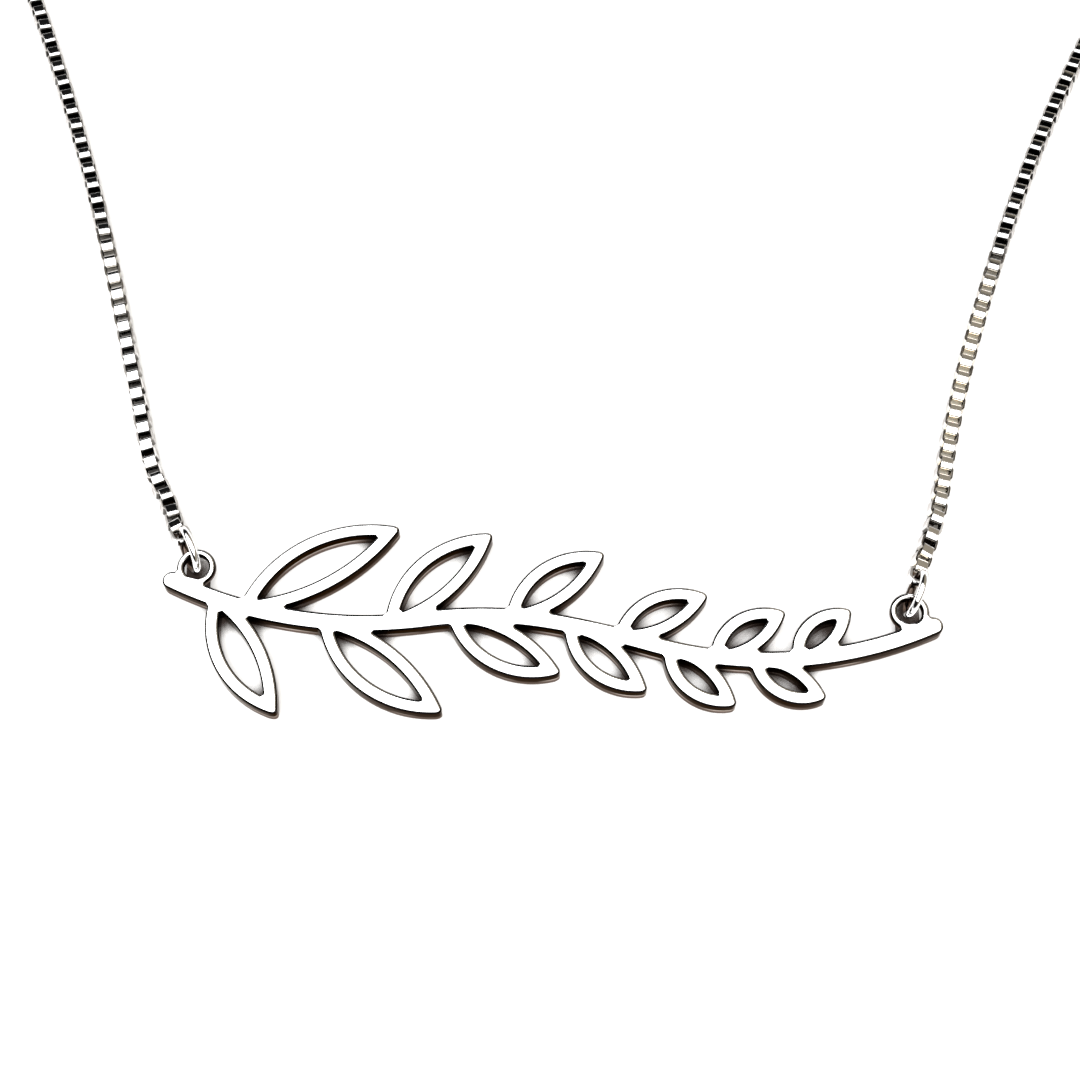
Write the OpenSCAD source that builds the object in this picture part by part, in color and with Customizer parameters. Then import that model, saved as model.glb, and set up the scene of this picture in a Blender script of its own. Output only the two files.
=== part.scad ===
// Nameplate necklace: an openwork silver plate, cut as a leaf sprig, between two box chains.
// It lies face up on a surface at z = 0. X runs along the plate to the right and Y up the plate.
// The origin is on the plate's back face, in the middle of its stem.

/* [Plate] */
// Length along the stem, between the middles of its round ends
stem_l = 44.6; // [40:0.1:50]
// Width of the stem's line
stem_w = 1.05; // [0.9:0.05:1.4]
// Thickness of the plate
plate_t = 1.1; // [1:0.05:1.5]
// Length of the longest leaf, from its foot to its tip
leaf_l = 9.4; // [8:0.1:10.5]
// Width of the leaves' lines
leaf_line_w = 0.8; // [0.7:0.05:1]

/* [Eyelets] */
// Radius of an eyelet's hole
eyelet_hole_r = 0.72; // [0.65:0.01:0.9]
// Width of the rim round an eyelet's hole
eyelet_rim_w = 0.4; // [0.3:0.05:0.6]
// Distance along the stem from its end to an eyelet
eyelet_in = 0.9; // [0.5:0.05:1.5]

/* [Jump rings] */
// Outer diameter of a jump ring
ring_d = 3; // [2.8:0.05:3.4]
// Diameter of a jump ring's wire
ring_wire_d = 0.45; // [0.4:0.01:0.5]
// Angle by which a jump ring leans over to the left of its chain
ring_lean = 10; // [0:1:12]

/* [Chain] */
// Width of the box chain over its flats
chain_w = 1; // [0.8:0.05:1.1]
// Thickness of the strip that a chain link is folded from
link_strip_t = 0.13; // [0.1:0.01:0.16]
// Outer width of the end link that joins a chain to a ring
end_link_w = 1.15; // [1.1:0.05:1.3]
// Thickness of the end link's strip
end_link_t = 0.2; // [0.15:0.01:0.25]
// Width of the end link's strip
end_link_strip_w = 0.5; // [0.4:0.05:0.6]
// Angle below level at which an end link hangs on its ring
end_link_drop = 20; // [10:1:25]

/* [Clasp] */
// Outer diameter of the clasp's ring
clasp_d = 5.5; // [5:0.1:7]
// Diameter of the clasp's tube
clasp_tube_d = 0.9; // [0.8:0.05:0.95]
// Radius of the hole in the clasp's eye
clasp_eye_hole_r = 0.7; // [0.65:0.05:0.9]
// Width of the rim round the hole in the clasp's eye
clasp_eye_rim_w = 0.4; // [0.3:0.05:0.5]
// Thickness of the clasp's eye
clasp_eye_t = 0.4; // [0.3:0.05:0.5]
// Distance up from the plate to the clasp
clasp_y = 162; // [159:0.5:165]

/* [Fits] */
// Gap between pieces that hang in each other
hang_gap = 0.08; // [0.06:0.01:0.1]
// Gap between an eyelet's underside and the ring's wire below it
under_gap = 0.15; // [0.1:0.01:0.2]

/* [Hidden] */

// The stem is a row of arcs to each side of the origin, as shares of stem_l.
// A positive turn radius bends to the left of the way that the row goes.
TURN = 0;
RUN = 1;
stem_heading = -10;
left_bends = [[0.49, 0.155], [-0.56, 0.34]];
right_bends = [[-1.07, 0.13], [0.52, 0.375]];

// The leaves: place along the stem as a share of stem_l, side of the stem, length as a share
// of leaf_l, and angle to the stem
AT = 0;
SIDE = 1;
LONG = 2;
LEAN = 3;
leaves = [
    [-0.39, 1, 1.00, 46], [-0.20, 1, 0.78, 41], [-0.045, 1, 0.64, 42],
    [0.095, 1, 0.54, 42], [0.22, 1, 0.46, 42], [0.325, 1, 0.40, 40],
    [-0.43, -1, 0.78, 42], [-0.285, -1, 0.86, 34], [-0.12, -1, 0.68, 34],
    [0.03, -1, 0.56, 32], [0.16, -1, 0.47, 30], [0.27, -1, 0.42, 30]];
// Opening of a leaf as a share of its length, and the outer side's share of its width
leaf_open = 0.2;
leaf_belly = 0.62;
// How far a leaf's filed point reaches past its length
leaf_point = 0.75 * leaf_line_w;
// How far a leaf's foot stands off the stem's middle line
leaf_foot = 0.05 * stem_w;
// A disc inside the stem's line, over each joint of two arcs
joint_d = 0.8 * stem_w;

// The chains' routes on the table, from the plate round to the clasp. The last points of each
// hold their distance down from the clasp.
left_front = [[-23.4, 10], [-24.7, 15], [-26.5, 22], [-28.8, 30], [-31.5, 38], [-34.6, 46],
    [-39.5, 56], [-46, 67.5]];
left_back = [[-57.5, 68.5], [-60, 54], [-58.5, 39.5], [-52, 25.5], [-41.5, 14.5], [-29, 6.5],
    [-16.5, 2]];
right_front = [[22.9, 7.5], [24.2, 13], [26, 19], [28.5, 26], [31.4, 33], [34.8, 40],
    [40.5, 50.5], [47, 62]];
right_back = [[58, 71.5], [60, 56], [58, 40.5], [52, 26.5], [42, 14.5], [29, 6.5], [16.5, 2]];
// Length over which a chain comes down from its end link to the table, and its rings between
// two points of its route
landing = 1.8;
rings_between = 2;

ring_r = (ring_d - ring_wire_d) / 2;
ring_z = ring_r * cos(ring_lean) + ring_wire_d / 2;
eyelet_r = eyelet_hole_r + eyelet_rim_w;
eyelet_z = ring_wire_d + under_gap;
eyelet_off = stem_w / 2 + hang_gap + eyelet_hole_r;
// An end link's opening holds the ring's wire and the first chain link's strip
link_in = ring_wire_d / 2 + hang_gap;
link_out = link_in + link_strip_t + hang_gap;
link_bevel = end_link_t;
chain_bevel = 0.18 * chain_w;
clasp_tube_r = clasp_tube_d / 2;
clasp_r = clasp_d / 2 - clasp_tube_r;
clasp_z = ring_wire_d + hang_gap + clasp_tube_r;
clasp_eye_x = clasp_d / 2 + hang_gap + clasp_eye_hole_r;
left_route = concat(left_front, [for (p = left_back) [p[0], clasp_y - p[1]]]);
right_route = concat(right_front, [for (p = right_back) [p[0], clasp_y - p[1]]]);
// The clasp leans until its ring touches the table on one side
clasp_lean = asin((clasp_z - clasp_tube_r) / clasp_r);
clasp_knob_turn = 50;
clasp_knob_d = 0.6 * clasp_tube_d;
clasp_knob_l = 0.7 * clasp_tube_d;

// Where a run along an arc leads to, as [x, y, heading]
function along(at, radius, run) =
    let (heading = at[2] + run / radius * 180 / PI)
    [at[0] + radius * (sin(heading) - sin(at[2])),
     at[1] - radius * (cos(heading) - cos(at[2])), heading];

// Where each arc of a row starts
function start_of(bends, start, i) =
    i == 0 ? start
    : along(start_of(bends, start, i - 1), bends[i - 1][TURN] * stem_l, bends[i - 1][RUN] * stem_l);

function on_bends(bends, start, run, i = 0) =
    let (part = bends[i][RUN] * stem_l)
    run <= part || i == len(bends) - 1
        ? along(start_of(bends, start, i), bends[i][TURN] * stem_l, run)
        : on_bends(bends, start, run - part, i + 1);

function length_of(bends, i = 0) =
    i == len(bends) ? 0 : bends[i][RUN] * stem_l + length_of(bends, i + 1);

left_start = [0, 0, stem_heading + 180];
right_start = [0, 0, stem_heading];

// The stem's point and heading at a distance to the right of the origin
function stem_at(run) =
    run >= 0 ? on_bends(right_bends, right_start, run)
    : on_bends(left_bends, left_start, -run) - [0, 0, 180];

function eyelet_at(run) =
    let (at = stem_at(run))
    [at[0] - eyelet_off * sin(at[2]), at[1] + eyelet_off * cos(at[2])];

function toward(from, to) = atan2(to[1] - from[1], to[0] - from[0]);

function on_way(from, turn, run) = [from[0] + run * cos(turn), from[1] + run * sin(turn)];

left_eyelet = eyelet_at(eyelet_in - length_of(left_bends));
right_eyelet = eyelet_at(length_of(right_bends) - eyelet_in);
left_eye = [-clasp_eye_x, clasp_y];
right_hook = [clasp_r, clasp_y];

function last(list) = list[len(list) - 1];

// Each ring leans on the table over what it holds, and points along its chain
PLACE = 0;
WAY = 1;
function ring_over(held, offset, route_point) =
    let (turn = toward(held, route_point)) [on_way(held, turn, offset), turn];
front_left = ring_over(left_eyelet, eyelet_hole_r + eyelet_rim_w / 2, left_route[0]);
front_right = ring_over(right_eyelet, eyelet_hole_r + eyelet_rim_w / 2, right_route[0]);
back_left = ring_over(left_eye, clasp_eye_hole_r + clasp_eye_rim_w / 2, last(left_route));
back_right = ring_over(right_hook, 0, last(right_route));

// A chain starts past its end link, comes down to the table and follows its route. Its end face
// tilts away from the end link by less than its bevel.
chain_reach = ring_r + link_out + end_link_t + hang_gap + chain_bevel;
function chain_start(ring) =
    let (down = chain_reach * sin(end_link_drop),
        under = on_way(ring[PLACE], ring[WAY], chain_reach * cos(end_link_drop)),
        at = on_way(under, ring[WAY] + 90, down * sin(ring_lean)))
    [at[0], at[1], ring_z - down * cos(ring_lean)];
function chain_landing(ring) =
    let (at = on_way(ring[PLACE], ring[WAY], chain_reach * cos(end_link_drop) + landing))
    [at[0], at[1], chain_w / 2];
function chain_points(front, route, back) = concat(
    [chain_start(front), chain_landing(front)],
    [for (p = route) [p[0], p[1], chain_w / 2]],
    [chain_landing(back), chain_start(back)]);

// A smooth line through the points, that stays on the table
function between(points, i, t) =
    let (a = points[max(i - 1, 0)], b = points[i], c = points[i + 1],
        d = points[min(i + 2, len(points) - 1)],
        p = (2 * b + (c - a) * t + (2 * a - 5 * b + 4 * c - d) * t * t
            + (3 * b - a - 3 * c + d) * t * t * t) / 2)
    [p[0], p[1], max(p[2], chain_w / 2)];
function smooth(points) = concat(
    [for (i = [0 : len(points) - 2], k = [0 : rings_between - 1])
        between(points, i, k / rings_between)],
    [last(points)]);

module band(radius, w, from, to) {
    reach = 2 * (radius + w);
    intersection() {
        difference() {
            circle(r = radius + w / 2);
            circle(r = radius - w / 2);
        }
        polygon(concat([[0, 0]], [for (turn = [from, (from + to) / 2, to])
            reach * [cos(turn), sin(turn)]]));
    }
}

module stem_side(bends, start) {
    for (i = [0 : len(bends) - 1]) {
        at = start_of(bends, start, i);
        radius = bends[i][TURN] * stem_l;
        from = at[2] - sign(radius) * 90;
        translate([at[0] - radius * sin(at[2]), at[1] + radius * cos(at[2])])
            band(abs(radius), stem_w, from, from + bends[i][RUN] * stem_l / radius * 180 / PI);
        translate([at[0], at[1]]) circle(d = joint_d);
    }
    end = on_bends(bends, start, length_of(bends));
    translate([end[0], end[1]]) circle(d = stem_w);
}

// The disc whose edge is an arc from the origin to a point on the X axis, that rises to one side,
// and is then moved out by a distance
module bow(long, rise, out) {
    radius = (long * long / 4 + rise * rise) / 2 / abs(rise);
    translate([long / 2, rise - sign(rise) * radius]) circle(r = radius + out);
}

module leaf_form(long, rises, out) {
    intersection() {
        bow(long, rises[0], out);
        bow(long, rises[1], out);
    }
}

module leaf(row) {
    at = stem_at(row[AT] * stem_l);
    side = row[SIDE];
    long = row[LONG] * leaf_l;
    width = side * (leaf_open * long + leaf_line_w);
    rises = [width * leaf_belly, width * (leaf_belly - 1)];
    translate([at[0], at[1]]) rotate(at[2]) translate([0, side * leaf_foot])
        rotate(side * row[LEAN]) difference() {
            intersection() {
                leaf_form(long, rises, leaf_line_w / 2);
                circle(r = long + leaf_point);
            }
            leaf_form(long, rises, -leaf_line_w / 2);
        }
}

module nameplate() {
    color("silver") difference() {
        union() {
            linear_extrude(plate_t) {
                stem_side(left_bends, left_start);
                stem_side(right_bends, right_start);
                for (row = leaves) leaf(row);
            }
            for (at = [left_eyelet, right_eyelet]) translate([at[0], at[1], eyelet_z])
                cylinder(r = eyelet_r, h = plate_t - eyelet_z);
        }
        for (at = [left_eyelet, right_eyelet]) translate([at[0], at[1], 0])
            cylinder(r = eyelet_hole_r, h = 2 * plate_t);
    }
}

module ring(ring) {
    color("silver") translate([ring[PLACE][0], ring[PLACE][1], ring_z])
        rotate([90 + ring_lean, 0, ring[WAY]]) rotate_extrude() translate([ring_r, 0])
            circle(d = ring_wire_d);
}

module bevelled(from, to, w, bevel) {
    polygon([[from + bevel, -w / 2], [to - bevel, -w / 2], [to, bevel - w / 2],
        [to, w / 2 - bevel], [to - bevel, w / 2], [from + bevel, w / 2],
        [from, w / 2 - bevel], [from, bevel - w / 2]]);
}

module end_link(ring) {
    color("silver") translate([ring[PLACE][0], ring[PLACE][1], ring_z])
        rotate([ring_lean, 0, ring[WAY]]) rotate([0, end_link_drop, 0])
            translate([ring_r, 0, -end_link_strip_w / 2]) linear_extrude(end_link_strip_w)
                difference() {
                    bevelled(-link_in - end_link_t, link_out + end_link_t, end_link_w, link_bevel);
                    bevelled(-link_in, link_out, end_link_w - 2 * end_link_t, link_bevel / 2);
                }
}

// The chain as a plain tube with bevelled edges, one section at each point
module chain(points) {
    flat = chain_w / 2;
    edge = flat - chain_bevel;
    section = [[flat, -edge], [flat, edge], [edge, flat], [-edge, flat],
        [-flat, edge], [-flat, -edge], [-edge, -flat], [edge, -flat]];
    sides = len(section);
    ends = len(points) - 1;
    rings = [for (i = [0 : ends])
        let (way = points[min(i + 1, ends)] - points[max(i - 1, 0)],
            ahead = way / norm(way),
            aside = cross(ahead, [0, 0, 1]) / norm(cross(ahead, [0, 0, 1])),
            up = cross(aside, ahead))
        [for (p = section) points[i] + p[0] * aside + p[1] * up]];
    color("silver") polyhedron(
        points = [for (r = rings) each r],
        faces = concat(
            [[for (k = [sides - 1 : -1 : 0]) k]],
            [[for (k = [0 : sides - 1]) ends * sides + k]],
            [for (i = [0 : ends - 1], k = [0 : sides - 1])
                [i * sides + k, i * sides + (k + 1) % sides,
                 (i + 1) * sides + (k + 1) % sides, (i + 1) * sides + k]]));
}

module clasp() {
    color("silver") translate([0, clasp_y, clasp_z]) rotate([clasp_lean, 0, 0]) {
        rotate_extrude() translate([clasp_r, 0]) circle(r = clasp_tube_r);
        translate([-clasp_eye_x, 0, -clasp_eye_t / 2]) difference() {
            cylinder(r = clasp_eye_hole_r + clasp_eye_rim_w, h = clasp_eye_t);
            translate([0, 0, -clasp_eye_t]) cylinder(r = clasp_eye_hole_r, h = 3 * clasp_eye_t);
        }
        rotate(clasp_knob_turn) translate([clasp_r, 0, 0]) rotate([0, 90, 0])
            cylinder(d = clasp_knob_d, h = clasp_tube_r + clasp_knob_l);
    }
}

nameplate();
ring(front_left);  // jump_ring_left
ring(front_right);  // jump_ring_right
end_link(front_left);  // end_link_left_front
end_link(front_right);  // end_link_right_front
chain(smooth(chain_points(front_left, left_route, back_left)));  // chain_left
chain(smooth(chain_points(front_right, right_route, back_right)));  // chain_right
end_link(back_left);  // end_link_left_back
end_link(back_right);  // end_link_right_back
ring(back_left);  // clasp_ring_left
ring(back_right);  // clasp_ring_right
clasp();
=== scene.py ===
import math

import bpy
import numpy as np
from mathutils import Matrix, Vector
from mathutils.geometry import delaunay_2d_cdt


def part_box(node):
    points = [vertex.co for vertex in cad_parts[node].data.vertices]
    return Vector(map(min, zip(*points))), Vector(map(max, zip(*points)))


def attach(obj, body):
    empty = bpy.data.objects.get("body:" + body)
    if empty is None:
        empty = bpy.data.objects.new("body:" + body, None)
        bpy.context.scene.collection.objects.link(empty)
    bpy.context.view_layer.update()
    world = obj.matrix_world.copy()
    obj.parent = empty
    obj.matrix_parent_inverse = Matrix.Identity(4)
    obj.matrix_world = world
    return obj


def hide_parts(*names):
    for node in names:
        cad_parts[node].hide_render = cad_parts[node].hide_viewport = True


# A silver nameplate necklace: an openwork leaf sprig between two box chains, lying on a pale
# surface at z = 0. All lengths are in metres and all angles in radians, unless a name says degrees.

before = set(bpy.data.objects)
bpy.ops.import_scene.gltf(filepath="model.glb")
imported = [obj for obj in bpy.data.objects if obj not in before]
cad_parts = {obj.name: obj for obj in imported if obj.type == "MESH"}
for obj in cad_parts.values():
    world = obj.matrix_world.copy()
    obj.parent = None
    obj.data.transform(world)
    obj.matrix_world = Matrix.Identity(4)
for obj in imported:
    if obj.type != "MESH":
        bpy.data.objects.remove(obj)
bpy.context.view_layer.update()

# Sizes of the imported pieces
STEM_L = 0.0446
STEM_W = 0.00105
PLATE_T = 0.0011
LEAF_L = 0.0094
LEAF_LINE_W = 0.0008
EYELET_HOLE_R = 0.00072
EYELET_RIM_W = 0.0004
EYELET_IN = 0.0009
RING_D = 0.003
RING_WIRE_D = 0.00045
RING_LEAN = math.radians(10)
CHAIN_W = 0.001
LINK_STRIP_T = 0.00013
END_LINK_W = 0.00115
END_LINK_T = 0.0002
END_LINK_STRIP_W = 0.0005
END_LINK_DROP = math.radians(20)
CLASP_D = 0.0055
CLASP_TUBE_D = 0.0009
CLASP_EYE_HOLE_R = 0.0007
CLASP_EYE_RIM_W = 0.0004
CLASP_EYE_T = 0.0004
CLASP_Y = 0.162
HANG_GAP = 0.00008
UNDER_GAP = 0.00015
LANDING = 0.0018

# The stem's arcs to each side of the origin, as shares of its length: turn radius and run
STEM_HEADING = math.radians(-10)
LEFT_BENDS = [(0.49, 0.155), (-0.56, 0.34)]
RIGHT_BENDS = [(-1.07, 0.13), (0.52, 0.375)]

# The leaves: place along the stem and length, as shares, with the side and the angle in degrees
LEAVES = [
    (-0.39, 1, 1.00, 46), (-0.20, 1, 0.78, 41), (-0.045, 1, 0.64, 42),
    (0.095, 1, 0.54, 42), (0.22, 1, 0.46, 42), (0.325, 1, 0.40, 40),
    (-0.43, -1, 0.78, 42), (-0.285, -1, 0.86, 34), (-0.12, -1, 0.68, 34),
    (0.03, -1, 0.56, 32), (0.16, -1, 0.47, 30), (0.27, -1, 0.42, 30)]
LEAF_OPEN = 0.2
LEAF_BELLY = 0.62
LEAF_POINT = 0.75 * LEAF_LINE_W
LEAF_FOOT = 0.05 * STEM_W

# The chains' routes on the table, from the plate round to the clasp. The last points of each
# hold their distance down from the clasp.
LEFT_FRONT = [
    (-0.0234, 0.010), (-0.0247, 0.015), (-0.0265, 0.022), (-0.0288, 0.030),
    (-0.0315, 0.038), (-0.0346, 0.046), (-0.0395, 0.056), (-0.046, 0.0675)]
LEFT_BACK = [
    (-0.0575, 0.0685), (-0.060, 0.054), (-0.0585, 0.0395), (-0.052, 0.0255),
    (-0.0415, 0.0145), (-0.029, 0.0065), (-0.0165, 0.002)]
RIGHT_FRONT = [
    (0.0229, 0.0075), (0.0242, 0.013), (0.026, 0.019), (0.0285, 0.026),
    (0.0314, 0.033), (0.0348, 0.040), (0.0405, 0.0505), (0.047, 0.062)]
RIGHT_BACK = [
    (0.058, 0.0715), (0.060, 0.056), (0.058, 0.0405), (0.052, 0.0265),
    (0.042, 0.0145), (0.029, 0.0065), (0.0165, 0.002)]

# How the nameplate is finished: the radii of its filed corners and polished edges
NOSE_R = 0.0003
TIP_R = 0.00025
HOLE_END_R = 0.00006
CROTCH_R = 0.00016
EYELET_FILLET_R = 0.00025
TOP_EDGE_R = 0.0002
FOOT_EDGE_R = 0.00006
TOP_EDGE_STEPS = 8
FOOT_EDGE_STEPS = 2
OUTLINE_STEP = 0.00007
GRID_STEP = 0.00008
GRID_MARGIN = 4 * GRID_STEP
SLOPE_REACH = GRID_STEP / 50
LEAST_STEEPNESS = 0.5
NEARLY_FLAT = 1e-6
LEAST_STEPS = 12
CAP_ACCURACY = 1e-7
STEP_DOWN = 0.00006

# The box chain's links, folded from a flat strip
LINK_PITCH = 0.000595
LINK_SLACK = 0.00005
LINK_STRIP_W = 0.00068
LINK_EDGE_R = 0.00003
LINK_FOLD_R = 0.00024
LINK_FOLD_STEPS = 5
LINK_DOME_DEGREES = 6.5
# Where the folds' painted shade begins and where it is full, as each fold turns
LINK_DARK_FROM = 0.42
LINK_DARK_TO = 0.75
END_LINK_FOLD_R = 0.0004
END_LINK_FOLD_STEPS = 10
LINE_STEPS = 24

# How much the links differ from each other: nodding, swinging and rolling, and tone
LINK_NOD_JITTER = math.radians(0.4)
LINK_JITTER = math.radians(1.2)
LINK_TONE_JITTER = 0.08
LEFT_SEED = 3
RIGHT_SEED = 5

# How each strand lies: distance from the plate, roll in degrees, and how pale its openings are
# painted, which is painted light and shade
LEFT_STRAND = [
    (0, 4, 0.4), (0.0009, -4, 0.1), (0.0013, -10, 0.02), (0.0034, -10, 0.02),
    (0.0045, 3, 0.1), (0.0135, 3, 0.12), (0.016, 1, 0.45), (0.018, 0, 0.6),
    (0.0215, -5, 0.4), (0.024, -6.8, 0.05), (0.028, -7.2, 0.02), (0.2, -7.2, 0.02)]
RIGHT_STRAND = [
    (0, -10, 0.9), (0.0018, -18, 0.8), (0.0026, -14, 0.05), (0.0036, -12, 0),
    (0.0045, -10, 0.8), (0.012, 0, 0.95), (0.02, 3, 0.9), (0.024, 7.6, 0.05),
    (0.03, 8, 0), (0.2, 8, 0)]

# A jump ring's wire, and the cut where it was closed
RING_STEPS = 72
WIRE_SIDES = 20
RING_CUT = 0.00003
RING_CUT_AT = math.radians(35)

# The clasp: its tube's sections, its gate between two seams as degrees round the ring, its knob,
# and how soon its sides and underside take painted shade
CLASP_STEPS = 72
CLASP_SIDES = 28
CLASP_GATE = (92, 142)
CLASP_GATE_SHARE = 0.86
CLASP_SEAM_DEGREES = 0.6
CLASP_SEAM_CLEAR_DEGREES = 2
CLASP_KNOB_AT_DEGREES = 50
CLASP_NECK_SHARE = 0.7
CLASP_HEAD_STEP_DEGREES = 15
CLASP_EDGE_R = 0.00008
CLASP_EDGE_DEGREES = (0, 30, 60, 90)
CLASP_SIDE_SHADE = 1.1
SHARP_FROM = math.radians(32)

# The photograph's camera: 1080 pixels wide, with a focal length of 2000 pixels
CAMERA_AT = (-0.000455, -0.04211, 0.10687)
CAMERA_AIM = (-0.000455, 0.005471, 0.0)
PHOTO_SIDE = 1080
FOCAL_PIXELS = 2000
SENSOR_MM = 36
CLIP_START = 0.002
CLIP_END = 50

# The pale surface, with painted shade in narrow places. Openness goes from 0 to 1: the shade ends
# where it reaches the value for the plate or the eyelets, and is darkest one edge below that.
FLOOR_HALF = 1.2
FLOOR_PALE = (0.86, 0.86, 0.855)
FLOOR_DARK = (0.05, 0.036, 0.03)
FLOOR_ROUGHNESS = 0.7
FLOOR_GLOSS = 0.2
PLATE_SHADE_TO = 0.42
EYELET_SHADE_TO = 0.68
SHADE_EDGE = 0.13
SHADE_REACH = 0.0012
SHADE_RAYS = 16

# The softbox, and the room: how much of the pale horizon shows at each height, and the walls'
# tones from left to right
SOFTBOX_EDGE_DEGREES = 58
SOFTBOX_TURN_DEGREES = -28
SOFTBOX_HEIGHT = 1.6
SOFTBOX_WIDTH = 4.2
SOFTBOX_DEPTH = 2.8
SOFTBOX_RADIANCE = 3.6
ROOM_ABOVE = (0.6, 0.6, 0.6)
HORIZON = [(0.04, (1, 1, 1)), (0.15, (0, 0, 0))]
WALLS = [(0.12, (0.008, 0.008, 0.008)), (0.2, (0.32, 0.28, 0.22))]

# The silver's tones, most of them painted shade, painted reflections and painted highlights. A row
# of stops gives the tone over a cloudy noise, over the height on the plate's side, or over how pale
# the openings of a strand are painted.
GRAZING_TINT = (0.5, 0.47, 0.45)
CUT_ROUGHNESS = 0.55
# Painted shade on the cut edges of the strips, darker where the strand's openings are painted paler
CUT_EDGE_SHADE = [
    (0.05, (0.5, 0.48, 0.46)), (0.35, (0.1, 0.088, 0.075)), (0.8, (0.045, 0.036, 0.027))]
# Painted reflections on the plate's sides over their height: warm brown near the foot, near black
# above and on the rounded top edges
PLATE_SIDE_REFLECTIONS = [
    (0.0, (0.16, 0.125, 0.11)), (0.3, (0.13, 0.1, 0.085)), (0.45, (0.015, 0.011, 0.01)),
    (1.0, (0.006, 0.005, 0.005))]
# Painted highlights on the plate's sides: a pale band a little below half their height, taken in
# patches
PLATE_SIDE_HIGHLIGHTS = [
    (0.0, (0.15, 0.115, 0.1)), (0.32, (0.2, 0.155, 0.14)), (0.38, (0.7, 0.62, 0.56)),
    (0.43, (0.7, 0.62, 0.56)), (0.47, (0.01, 0.008, 0.007)), (1.0, (0.006, 0.005, 0.005))]
# Painted shade on the rings, the end links and the clasp, over a cloudy noise
WIRE_SHADE = [(0.3, (0.02, 0.015, 0.012)), (0.7, (0.12, 0.09, 0.075))]
# Painted shade and light in the links' insides and folds: near black where a strand's openings are
# painted dark, pale where they are painted pale
LINK_SHADE = [
    (0.0, (0.01, 0.009, 0.008)), (0.6, (0.65, 0.63, 0.6)), (0.85, (1.0, 0.95, 0.85))]

# The silver's noises: sizes, and the part of each noise in which it changes
CLOUD_SCRATCHES = 12
CLOUD_DETAIL = 3
CLOUD_RANGE = (0.3, 0.7)
# Patches in which the plate's sides take their painted highlights
LIT_PATCH_SIZE = 0.004
LIT_PATCH_DETAIL = 1
LIT_PATCH_RANGE = (0.45, 0.6)
SCRATCH_DETAIL = 6
SCRATCH_HARSHNESS = 0.65
SCRATCH_RANGE = (0.35, 0.75)
SCRATCH_STRETCH = (1, 3, 1)
SCRATCH_BUMP = 0.04

# What follows from the sizes above
WIRE_R = RING_WIRE_D / 2
RING_R = (RING_D - RING_WIRE_D) / 2
RING_Z = RING_R * math.cos(RING_LEAN) + WIRE_R
EYELET_R = EYELET_HOLE_R + EYELET_RIM_W
EYELET_Z = RING_WIRE_D + UNDER_GAP
EYELET_OFF = STEM_W / 2 + HANG_GAP + EYELET_HOLE_R
LINK_IN = WIRE_R + HANG_GAP
LINK_OUT = LINK_IN + LINK_STRIP_T + HANG_GAP
CLASP_TUBE_R = CLASP_TUBE_D / 2
CLASP_R = CLASP_D / 2 - CLASP_TUBE_R
CLASP_Z = RING_WIRE_D + HANG_GAP + CLASP_TUBE_R
CLASP_EYE_X = CLASP_D / 2 + HANG_GAP + CLASP_EYE_HOLE_R
CLASP_LEAN = math.asin((CLASP_Z - CLASP_TUBE_R) / CLASP_R)
CLASP_KNOB_R = 0.3 * CLASP_TUBE_D
CLASP_KNOB_L = 0.7 * CLASP_TUBE_D
CHAIN_BEVEL = 0.18 * CHAIN_W
CHAIN_REACH = RING_R + LINK_OUT + END_LINK_T + HANG_GAP + CHAIN_BEVEL
LINK_L = LINK_PITCH + 2 * LINK_STRIP_T + LINK_SLACK
LEFT_ROUTE = LEFT_FRONT + [(x, CLASP_Y - y) for x, y in LEFT_BACK]
RIGHT_ROUTE = RIGHT_FRONT + [(x, CLASP_Y - y) for x, y in RIGHT_BACK]


# Places on the part

def along(at, radius, run):
    """Where a run along an arc leads to, as x, y and heading."""
    x, y, heading = at
    ahead = heading + run / radius
    return (x + radius * (math.sin(ahead) - math.sin(heading)),
            y - radius * (math.cos(ahead) - math.cos(heading)), ahead)


def arcs_of(bends, start):
    """Each arc of a row as its start, turn radius and run."""
    rows = []
    at = start
    for turn, share in bends:
        rows.append((at, turn * STEM_L, share * STEM_L))
        at = along(*rows[-1])
    return rows


LEFT_ARCS = arcs_of(LEFT_BENDS, (0, 0, STEM_HEADING + math.pi))
RIGHT_ARCS = arcs_of(RIGHT_BENDS, (0, 0, STEM_HEADING))


def on_arcs(arcs, run):
    """The point and heading at a distance along a row of arcs."""
    for start, radius, length in arcs[:-1]:
        if run <= length:
            return along(start, radius, run)
        run -= length
    return along(arcs[-1][0], arcs[-1][1], run)


def stem_at(run):
    """The stem's point and heading at a distance to the right of the origin."""
    if run >= 0:
        return on_arcs(RIGHT_ARCS, run)
    x, y, heading = on_arcs(LEFT_ARCS, -run)
    return x, y, heading - math.pi


def eyelet_at(run):
    """The centre of an eyelet that stands on the stem's upper side."""
    x, y, heading = stem_at(run)
    return np.array([x - EYELET_OFF * math.sin(heading), y + EYELET_OFF * math.cos(heading)])


LEFT_EYELET = eyelet_at(EYELET_IN - sum(share for _, share in LEFT_BENDS) * STEM_L)
RIGHT_EYELET = eyelet_at(sum(share for _, share in RIGHT_BENDS) * STEM_L - EYELET_IN)


def ring_over(held, offset, route_point):
    """A ring's centre over what it holds, and the direction in which it points."""
    way = np.array(route_point) - np.array(held)
    way /= np.linalg.norm(way)
    return np.array(held) + offset * way, way


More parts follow.
